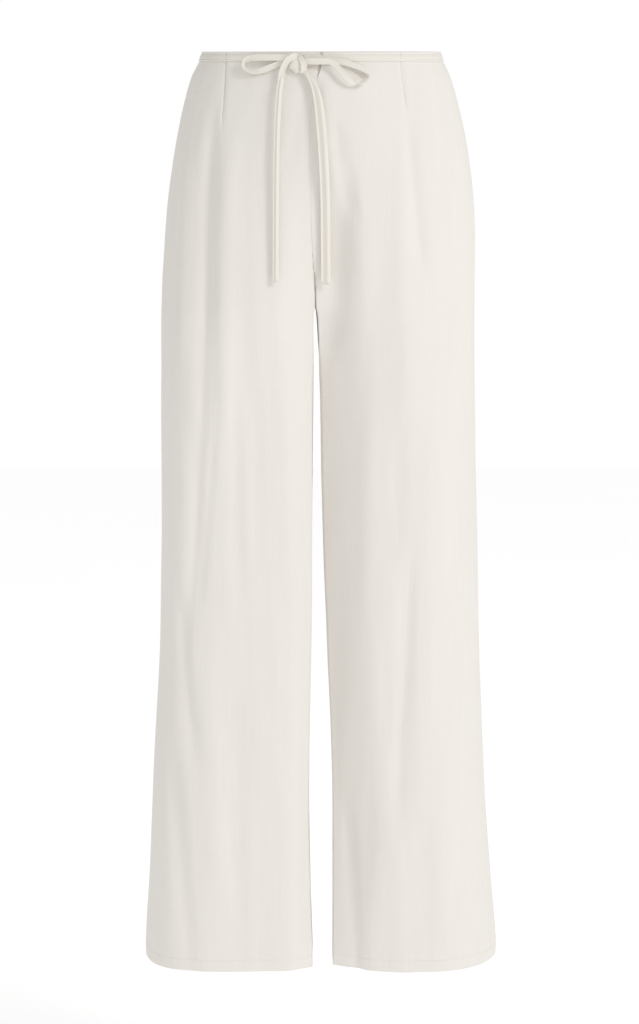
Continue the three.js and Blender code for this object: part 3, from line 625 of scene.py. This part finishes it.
def shell_quads(rows, columns):
    """Quads of a closed wall between an outer and an inner grid of points."""
    outer, inner = np.arange(2 * rows * columns).reshape(2, rows, columns)
    face = lambda g: np.stack([g[:-1, :-1], g[1:, :-1], g[1:, 1:], g[:-1, 1:]], axis=-1).reshape(-1, 4)
    strip = lambda a, b: np.stack([a[:-1], b[:-1], b[1:], a[1:]], axis=-1)
    return np.concatenate([
        face(outer), face(inner)[:, ::-1],
        strip(outer[0], inner[0])[:, ::-1], strip(outer[-1], inner[-1]),
        strip(outer[:, 0], inner[:, 0]), strip(outer[:, -1], inner[:, -1])[:, ::-1],
    ])


def keep_threads(mesh, grain):
    """Keeps where the cloth's threads lie at each point, for the weave."""
    places = mesh.attributes.new("grain", "FLOAT_VECTOR", "POINT")
    places.data.foreach_set("vector", grain.astype(np.float32).ravel())


def mesh_object(name, points, quads, grain=None):
    """A smooth-shaded object from quads, with the places of its threads kept for the weave."""
    quads = facing_out(points, quads)
    mesh = bpy.data.meshes.new(name)
    mesh.vertices.add(len(points))
    mesh.vertices.foreach_set("co", points.astype(np.float32).ravel())
    mesh.loops.add(quads.size)
    mesh.loops.foreach_set("vertex_index", quads.astype(np.int32).ravel())
    mesh.polygons.add(len(quads))
    mesh.polygons.foreach_set("loop_start", np.arange(0, quads.size, 4, dtype=np.int32))
    mesh.polygons.foreach_set("use_smooth", np.ones(len(quads), dtype=bool))
    mesh.update(calc_edges=True)
    mesh.validate()
    if grain is not None:
        keep_threads(mesh, grain)
    made = bpy.data.objects.new(name, mesh)
    bpy.context.scene.collection.objects.link(made)
    return made


def finished(made, material, slot, *nodes):
    """Gives a piece its cloth, its body and the solids that it stands for."""
    made.data.materials.append(material)
    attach(made, "root")
    if nodes:
        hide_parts(*nodes)
    return made


# Camera at the photograph's viewing angle.
IMAGE_HEIGHT = 1024
CAMERA_PLACE = (-0.0022, -3.5, 0.02)
CAMERA_PITCH = math.radians(8.854201)
FOCAL_PIXELS = 3017.0504
SENSOR = 36


def make_camera():
    data = bpy.data.cameras.new("camera")
    data.sensor_fit = "VERTICAL"
    data.sensor_height = SENSOR
    data.sensor_width = SENSOR
    data.lens = FOCAL_PIXELS / IMAGE_HEIGHT * SENSOR
    data.clip_start, data.clip_end = 0.05, 40
    camera = bpy.data.objects.new("camera", data)
    camera.location = CAMERA_PLACE
    camera.rotation_euler = (math.pi / 2 - CAMERA_PITCH, 0, 0)
    bpy.context.scene.collection.objects.link(camera)
    bpy.context.scene.camera = camera


# Small helpers for material nodes.
def node(tree, kind, inputs=(), **settings):
    made = tree.nodes.new(kind)
    for key, value in settings.items():
        setattr(made, key, value)
    for key, value in dict(inputs).items():
        if isinstance(value, bpy.types.NodeSocket):
            tree.links.new(value, made.inputs[key])
        else:
            made.inputs[key].default_value = value
    return made


def maths(tree, operation, *values):
    return node(tree, "ShaderNodeMath", dict(enumerate(values)), operation=operation).outputs[0]


def stretched(tree, vector, scale):
    return node(tree, "ShaderNodeVectorMath", {0: vector, 1: scale}, operation="MULTIPLY").outputs[0]


def noise(tree, vector, scale, detail=2.0, roughness=0.5):
    inputs = {"Vector": vector, "Scale": scale, "Detail": detail, "Roughness": roughness}
    return node(tree, "ShaderNodeTexNoise", inputs).outputs["Fac"]


def mixed(tree, share, first, second, blend="MIX"):
    """A mix of two colours, each of them a socket or a fixed colour."""
    inputs = {0: share, 6: first, 7: second}
    return node(tree, "ShaderNodeMix", inputs, data_type="RGBA", blend_type=blend).outputs[2]


def clear_material(name):
    material = bpy.data.materials.new(name)
    material.use_nodes = True
    material.node_tree.nodes.clear()
    return material


def surface(tree, shader):
    output = node(tree, "ShaderNodeOutputMaterial")
    tree.links.new(shader.outputs[0], output.inputs["Surface"])


def weave_group():
    """Plain weave: the height of the crossing threads, with their own unevenness."""
    group = bpy.data.node_groups.new("plain_weave", "ShaderNodeTree")
    group.interface.new_socket("Grain", in_out="INPUT", socket_type="NodeSocketVector")
    group.interface.new_socket("Threads per Metre", in_out="INPUT", socket_type="NodeSocketFloat")
    group.interface.new_socket("Height", in_out="OUTPUT", socket_type="NodeSocketFloat")
    given = group.nodes.new("NodeGroupInput")
    result = group.nodes.new("NodeGroupOutput")
    grain, threads = given.outputs[0], given.outputs[1]
    split = node(group, "ShaderNodeSeparateXYZ", {0: grain})
    turns = maths(group, "MULTIPLY", threads, math.pi)
    bend = maths(group, "MULTIPLY", noise(group, grain, 260, 1.0), 2.2)
    warp = maths(group, "SINE", maths(group, "MULTIPLY_ADD", split.outputs[0], turns, bend))
    weft = maths(group, "SINE", maths(group, "MULTIPLY_ADD", split.outputs[1], turns, bend))
    crossing = maths(group, "MULTIPLY", warp, weft)
    group.links.new(maths(group, "MULTIPLY_ADD", crossing, 0.5, 0.5), result.inputs["Height"])
    return group


def slub_group():
    """Linen's slubs, the thicker stretches of its threads, as a tone and a height from 0 to 1."""
    group = bpy.data.node_groups.new("linen_slubs", "ShaderNodeTree")
    group.interface.new_socket("Grain", in_out="INPUT", socket_type="NodeSocketVector")
    group.interface.new_socket("Tone", in_out="OUTPUT", socket_type="NodeSocketFloat")
    group.interface.new_socket("Height", in_out="OUTPUT", socket_type="NodeSocketFloat")
    given = group.nodes.new("NodeGroupInput")
    result = group.nodes.new("NodeGroupOutput")
    grain = given.outputs[0]
    down = noise(group, stretched(group, grain, (620, 14, 1)), 1, 2.0, 0.6)
    across = noise(group, stretched(group, grain, (16, 620, 1)), 1, 2.0, 0.6)
    broad = noise(group, stretched(group, grain, (90, 5, 1)), 1, 3.0, 0.55)
    threads = maths(group, "MULTIPLY_ADD", down, 0.5, maths(group, "MULTIPLY", across, 0.22))
    group.links.new(maths(group, "MULTIPLY_ADD", broad, 0.28, threads), result.inputs["Tone"])
    group.links.new(maths(group, "MAXIMUM", down, across), result.inputs["Height"])
    return group


def linen(name, groups, light, deep, threads, weave_height, slub_height):
    """Matte plain-weave linen, with colours from light to deep and its number of threads to a metre."""
    material = clear_material(name)
    tree = material.node_tree
    weave, slubs = groups
    grain = node(tree, "ShaderNodeAttribute", attribute_name="grain").outputs["Vector"]
    woven = node(tree, "ShaderNodeGroup", {"Grain": grain, "Threads per Metre": threads}, node_tree=weave)
    slubbed = node(tree, "ShaderNodeGroup", {"Grain": grain}, node_tree=slubs)
    tone, crossing = slubbed.outputs["Tone"], woven.outputs["Height"]
    spread = node(tree, "ShaderNodeMapRange", {"Value": tone, "From Min": 0.36, "From Max": 0.64})
    colour = mixed(tree, spread.outputs[0], (*deep, 1), (*light, 1))
    shade = maths(tree, "MULTIPLY_ADD", crossing, 0.06, 0.94)
    low = node(tree, "ShaderNodeBump", {
        "Height": slubbed.outputs["Height"], "Distance": slub_height, "Strength": 0.6})
    fine = node(tree, "ShaderNodeBump", {
        "Height": crossing, "Distance": weave_height, "Strength": 0.6, "Normal": low.outputs[0]})
    shader = node(tree, "ShaderNodeBsdfPrincipled", {
        "Base Color": mixed(tree, 1, colour, shade, "MULTIPLY"),
        "Roughness": maths(tree, "MULTIPLY_ADD", tone, -0.1, 0.93), "Normal": fine.outputs[0],
        "Sheen Weight": 0.12, "Sheen Roughness": 0.6, "Specular IOR Level": 0.25})
    surface(tree, shader)
    return material


def along_table(columns, rows, steps=STRAND_STEPS):
    """Points along a smooth line through a table's rows, one array for each column."""
    values = np.array(rows, float)
    count = (len(values) - 1) * steps
    place = np.linspace(0, len(values) - 1, count + 1)
    k = np.minimum(place.astype(int), len(values) - 2)
    t = (place - k)[:, None]
    last = len(values) - 1
    start = (values[k + 1] - values[np.maximum(k - 1, 0)]) / 2
    end = (values[np.minimum(k + 2, last)] - values[k]) / 2
    rise = values[k + 1] - values[k]
    found = values[k] + t * start + t**2 * (3 * rise - 2 * start - end) + t**3 * (start + end - 2 * rise)
    return dict(zip(columns, found.T))


def unit(vectors):
    return vectors / np.maximum(np.linalg.norm(vectors, axis=-1, keepdims=True), 1e-12)


def length_along(line):
    """Distance along a line of points up to each of them."""
    return np.concatenate([[0], np.cumsum(np.linalg.norm(np.diff(line, axis=0), axis=1))])


def strip_profile():
    """Places across a folded strip, closer together at its edges, and how full the strip is at each."""
    place = np.sin(np.linspace(-math.pi / 2, math.pi / 2, PROFILE_STEPS + 1)) / 2
    return place, np.sqrt(np.clip(1 - (2 * np.abs(place)) ** STRIP_SQUARENESS, 0, 1))


def strip_grain(across, along, shift):
    """Where a strip's threads lie at each point of its grid."""
    across, along = np.broadcast_arrays(across * TIE_WIDTH + shift, along)
    return np.stack([across, along, np.zeros(across.shape)], axis=2).reshape(-1, 3)


def front_y(x, z):
    """The outside of the front at x and z."""
    seam = column_at(SECTIONS, "right_inner", z)
    right = panels["front_right"].y_at(x, z)
    left = panels["front_left"].y_at(x, z)
    return np.where(x < seam, right, left)


def strand_line(rows):
    """A strand's middle line and, at each point, the directions across its breadth and out of its face."""
    line = along_table(STRAND_COLUMNS, rows)
    cloth_y = front_y(line["x"], line["z"])
    held = np.pad(cloth_y, STRAND_STEPS, mode="edge")
    spread = bell(np.linspace(-2, 2, 2 * STRAND_STEPS + 1))
    cloth_y = np.convolve(held, spread / spread.sum(), mode="valid")
    middle = np.stack([line["x"], cloth_y - line["out"], line["z"]], axis=1)
    along = unit(np.gradient(middle, axis=0))
    lean, tip = np.radians(line["lean"]), np.radians(line["tip"])
    breadth = np.stack([-np.sin(lean) * np.cos(tip), -np.sin(tip), np.cos(lean) * np.cos(tip)], axis=1)
    across = unit(breadth - along * np.einsum("ij,ij->i", breadth, along)[:, None])
    out = unit(np.cross(along, across))
    turned = -1 if out[:, 1].mean() > 0 else 1
    return middle, turned * across, turned * out, line["width"]


def ribbon(rows, section, stitched=0.3):
    """A folded and turned strip: section is its table of places across and heights out, and stitched is the
    place of its stitched line across the breadth. Returns points, quads, thread places and middle line."""
    middle, across, out, width = strand_line(rows)
    place, fullness = strip_profile()
    groove = STRIP_GROOVE["depth"] * bell((place - stitched) / STRIP_GROOVE["width"])
    half = TIE_CLOTH / 2 * fullness
    risen = smooth_through(*np.array(section, float).T, place)
    sideways = across[:, None] * (width[:, None] * place)[..., None]
    skins = [middle[:, None] + sideways + out[:, None] * height[None, :, None]
             for height in (risen + half - groove, risen - half)]
    points = np.concatenate([skin.reshape(-1, 3) for skin in skins])
    grain = strip_grain(place, length_along(middle)[:, None], STRAND_GRAIN)
    return points, shell_quads(*skins[0].shape[:2]), np.concatenate([grain] * 2), middle


def strand(name, rows, node_name, section):
    """A strand of the bow, built as a flat strip in place of its solid."""
    points, quads, grain, middle = ribbon(rows, section)
    made = finished(mesh_object(name, points, quads, grain), tie_linen, "tie_linen", node_name)
    return made


def leg_piece(panel):
    rows, columns = panel.s.shape
    points = np.concatenate([panel.outer.reshape(-1, 3), panel.inner.reshape(-1, 3)])
    grain = np.concatenate([panel.grain.reshape(-1, 3)] * 2)
    made = mesh_object(f"{panel.name}_cloth", points, shell_quads(rows, columns), grain)
    finished(made, linen_cloth, "linen", panel.name)
    return made


make_camera()
weave_and_slubs = (weave_group(), slub_group())
linen_cloth = linen("linen_cloth", weave_and_slubs, light=(0.866, 0.83, 0.78), deep=(0.84, 0.802, 0.75),
                    threads=1700, weave_height=0.00009, slub_height=0.00013)
tie_linen = linen("tie_linen", weave_and_slubs, light=(0.872, 0.834, 0.762), deep=(0.838, 0.798, 0.722),
                  threads=1900, weave_height=0.0001, slub_height=0.00018)
thread = linen("stitch_thread", weave_and_slubs, light=(0.88, 0.85, 0.8), deep=(0.85, 0.82, 0.77),
               threads=5200, weave_height=0.00003, slub_height=0.00003)

panels = {f"{face}_{side}": Panel(side, face) for face in ("front", "back") for side in ("right", "left")}

# The bow's free strands come first, then the cloth that they lie on.
strand("tie_loop_right_strip", LOOP_RIGHT_ROWS, "tie_loop_right", CUPPED_STRIP)
strand("tie_loop_left_strip", LOOP_LEFT_ROWS, "tie_loop_left", CUPPED_STRIP)
strand("tie_end_right_strip", TAIL_RIGHT_ROWS, "tie_end_right", RIGHT_END_STRIP)
strand("tie_end_left_strip", TAIL_LEFT_ROWS, "tie_end_left", LEFT_END_STRIP)

for one in panels.values():
    leg_piece(one)


def knot_turn(name, rows):
    points, quads, grain, _ = ribbon(rows, CUPPED_STRIP, stitched=0)
    return finished(mesh_object(name, points, quads, grain), tie_linen, "tie_linen")


def face_number(face):
    """A number for a face by its corners, which puts a mesh's faces in the same order each run."""
    corners = sorted(vertex.index for vertex in face.verts)
    return sum(corner * 2000.0**place for place, corner in enumerate(corners))


def knot_core():
    """The wad of cloth inside the knot: a squat round form with folds that run in to its middle."""
    core = KNOT_CORE
    middle_y = front_y(np.array([core["x"]]), np.array([core["z"]]))[0] - core["out"]
    form = bmesh.new()
    bmesh.ops.create_uvsphere(form, u_segments=48, v_segments=24, radius=1)
    form.verts.index_update()
    form.faces.sort(key=face_number)
    for vertex in form.verts:
        across, up, out = vertex.co
        folded = 0
        for direction, width, depth in KNOT_FOLD_ROWS:
            turned = math.remainder(math.atan2(up, across) - math.radians(direction), math.tau)
            folded += depth * bell(turned / math.radians(width))
        size = 1 - folded * math.hypot(across, up)
        vertex.co = (core["x"] + core["half_width"] * across * size,
                     middle_y - core["half_depth"] * out * size,
                     core["z"] + core["half_height"] * up * size)
    mesh = bpy.data.meshes.new("tie_knot_core")
    form.to_mesh(mesh)
    form.free()
    mesh.polygons.foreach_set("use_smooth", np.ones(len(mesh.polygons), dtype=bool))
    place = np.array([tuple(vertex.co) for vertex in mesh.vertices])
    keep_threads(mesh, place[:, [0, 2, 1]] + [KNOT_GRAIN, 0, 0])
    made = bpy.data.objects.new("tie_knot_core", mesh)
    bpy.context.scene.collection.objects.link(made)
    return finished(made, tie_linen, "tie_linen", "tie_knot")


def panel_line(name, z):
    """A panel's outside at one height, before its edges roll in."""
    panel = panels[name]
    row = panel.row_at(z)
    line = panel.outer[row] + panel.normal[row] * panel.edge_roll()[row][:, None]
    return np.column_stack([line[:, :2], np.full(len(line), z)])


def waist_run(z):
    """The outside of the waist at one height, from the knot's left round the back to its right."""
    knot_front = panel_line("front_right", z)
    x = panel_line("front_right", TIE_MIDDLE)[:, 0]
    return np.concatenate([
        knot_front[x > KNOT_X + KNOT_REACH],
        panel_line("front_left", z)[::-1],
        panel_line("back_left", z),
        panel_line("back_right", z)[::-1],
        knot_front[x < KNOT_X - KNOT_REACH],
    ])


def waist_tie():
    """The strip round the waist, with rounded edges and the line of stitching that closes it."""
    place, fullness = strip_profile()
    runs = np.array([waist_run(TIE_MIDDLE + share * TIE_WIDTH) for share in place])
    middle = runs[PROFILE_STEPS // 2]
    out = unit(np.cross(np.array([0.0, 0.0, 1.0]), np.gradient(middle, axis=0)))
    out = out if (out * middle).sum() > 0 else -out
    distance = length_along(middle)
    tie = WAIST_TIE
    wave = tie["wave"] * np.sin(distance / tie["wave_pitch"])[None]
    groove = tie["groove"] * bell((place - tie["stitched"]) / tie["groove_width"])[:, None]
    half, edge = PRESSED_TIE / 2, fullness[:, None]
    levels = (TIE_GAP + half * (1 + edge) + wave - groove, TIE_GAP + half * (1 - edge) + wave)
    points = np.concatenate([(runs + out[None] * level[..., None]).reshape(-1, 3) for level in levels])
    grain = strip_grain(place[:, None], distance[None], WAIST_GRAIN)
    made = mesh_object("tie_waist_strip", points, shell_quads(*runs.shape[:2]), np.concatenate([grain] * 2))
    return finished(made, tie_linen, "tie_linen", "tie_waist")


# The underlap's ends, its sides from the centre seam, and its faces' depths behind the fronts' outside.
# Nearer to the seam than bridge, it takes its form from the cloth beside the slit.
UNDERLAP = {"top": 0.007, "low": -0.15, "right": -0.008, "left": 0.013, "rows": 60, "columns": 22,
            "bridge": 0.004, "depths": (0.0022, 0.0032)}


def underlap():
    """The strip of cloth behind the slit, against the inside of the fronts."""
    lap = UNDERLAP
    z = np.linspace(lap["top"], lap["low"], lap["rows"])
    across = np.linspace(lap["right"], lap["left"], lap["columns"])
    x = column_at(SECTIONS, "right_inner", z)[:, None] + across[None]
    y = np.array([front_y(row, np.full_like(row, height)) for row, height in zip(x, z)])
    bridged = np.minimum(np.roll(y, 3, axis=1), np.roll(y, -3, axis=1))
    y = np.where(np.abs(across)[None] < lap["bridge"], bridged, y)
    heights = np.repeat(z[:, None], lap["columns"], axis=1)
    skins = [np.stack([x, y + depth, heights], axis=2) for depth in lap["depths"]]
    points = np.concatenate([skin.reshape(-1, 3) for skin in skins])
    grain = np.stack([x + UNDERLAP_GRAIN, heights, np.zeros_like(x)], axis=2).reshape(-1, 3)
    made = mesh_object("fly_underlap_cloth", points, shell_quads(*x.shape), np.concatenate([grain] * 2))
    finished(made, linen_cloth, "linen", "fly_underlap")
    return made


# The hem's stitches, and the girth of each from end to end.
STITCH = {"pitch": 0.0031, "length": 0.0024, "radius": 0.00017, "sides": 6, "start": 0.0015, "lift": 0.00002}
STITCH_COLUMNS = ("place", "girth")
STITCH_ROWS = ((-1, 0.15), (-0.86, 0.7), (-0.5, 1), (0.5, 1), (0.86, 0.7), (1, 0.15))


def stitch_line(name, places, out, along):
    """A row of stitches, each a small rounded thread lying along the line."""
    form, sides = table(STITCH_COLUMNS, STITCH_ROWS), STITCH["sides"]
    ends, girth = form["place"], form["girth"] * STITCH["radius"]
    turn = np.arange(sides) * math.tau / sides
    side = np.cross(along, out)
    ring = np.cos(turn)[:, None, None] * side[None] + np.sin(turn)[:, None, None] * out[None]
    points = (places[None, None] + ends[:, None, None, None] * along[None, None] * STITCH["length"] / 2
              + girth[:, None, None, None] * ring[None])
    points = points.transpose(2, 0, 1, 3)
    index = np.arange(len(places) * len(ends) * sides).reshape(len(places), len(ends), sides)
    wrapped = np.concatenate([index, index[:, :, :1]], axis=2)
    a, b = wrapped[:, :-1, :-1], wrapped[:, 1:, :-1]
    c, d = wrapped[:, 1:, 1:], wrapped[:, :-1, 1:]
    quads = [np.stack([a, b, c, d], axis=-1).reshape(-1, 4)]
    for end, flip in ((0, False), (-1, True)):
        cap = index[:, end]
        pair = np.concatenate([cap[:, [0, 1, 2, 3]], cap[:, [0, 3, 4, 5]]])
        quads.append(pair[:, ::-1] if flip else pair)
    flat = points.reshape(-1, 3)
    grain = np.stack([flat[:, 0] + THREAD_GRAIN, flat[:, 2], flat[:, 1]], axis=1)
    return finished(mesh_object(name, flat, np.concatenate(quads), grain), thread, "linen")


def hem_stitches(side):
    """The stitching that holds up one leg's hem, all round."""
    front, back = panels[f"front_{side}"], panels[f"back_{side}"]
    row = front.row_at(HEM + HEM_DEPTH)
    ring = np.concatenate([front.outer[row], back.outer[row][::-1]])
    outs = np.concatenate([front.normal[row], back.normal[row][::-1]])
    distance = length_along(ring)
    at = np.arange(STITCH["start"], distance[-1], STITCH["pitch"])
    pick = lambda values, s: np.stack([np.interp(s, distance, values[:, k]) for k in range(3)], axis=1)
    out = unit(pick(outs, at))
    along = unit(pick(ring, at + 0.001) - pick(ring, at - 0.001))
    return stitch_line(f"hem_stitches_{side}", pick(ring, at) + out * STITCH["lift"], out, along)


knot_turn("tie_knot_crossing", KNOT_CROSSING_ROWS)
knot_core()
knot_turn("tie_knot_top", KNOT_TOP_ROWS)
waist_tie()
underlap()
for which in ("right", "left"):
    hem_stitches(which)


# Plain pale floor, white surroundings and soft studio light.
FLOOR_HEIGHT = -1.32


def make_floor():
    points = np.array([[-6, -5, 0], [6, -5, 0], [6, 6, 0], [-6, 6, 0]], float) + [0, 0, FLOOR_HEIGHT]
    floor = mesh_object("floor", points, np.array([[0, 1, 2, 3]]))
    material = clear_material("pale_floor")
    tree = material.node_tree
    place = node(tree, "ShaderNodeTexCoord").outputs["Object"]
    colour = mixed(tree, noise(tree, place, 3, 2.0), (0.93, 0.93, 0.93, 1), (0.95, 0.95, 0.95, 1))
    shader = node(tree, "ShaderNodeBsdfPrincipled", {
        "Base Color": colour, "Roughness": 0.9, "Emission Color": (1, 1, 1, 1), "Emission Strength": 0.35})
    surface(tree, shader)
    floor.data.materials.append(material)


def make_light(name, place, aim, size, power):
    data = bpy.data.lights.new(name, "AREA")
    data.shape = "DISK"
    data.size = size
    data.energy = power
    lamp = bpy.data.objects.new(name, data)
    lamp.location = place
    lamp.rotation_euler = (Vector(aim) - Vector(place)).to_track_quat("-Z", "Y").to_euler()
    bpy.context.scene.collection.objects.link(lamp)


def make_surroundings(seen, given):
    """White all round: seen is how bright the camera sees it, and given is the light that it gives."""
    world = bpy.data.worlds.new("white_studio")
    world.use_nodes = True
    tree = world.node_tree
    tree.nodes.clear()
    camera_ray = node(tree, "ShaderNodeLightPath").outputs["Is Camera Ray"]
    strength = maths(tree, "MULTIPLY_ADD", camera_ray, seen - given, given)
    background = node(tree, "ShaderNodeBackground", {"Color": (1, 1, 1, 1), "Strength": strength})
    output = node(tree, "ShaderNodeOutputWorld")
    tree.links.new(background.outputs[0], output.inputs["Surface"])
    bpy.context.scene.world = world


make_floor()
make_surroundings(seen=1.0, given=0.655)
make_light("key_right", place=(2.6, -2.6, 1.9), aim=(0, 0, -0.3), size=1.3, power=50.5)
bpy.context.scene.view_settings.view_transform = "Standard"
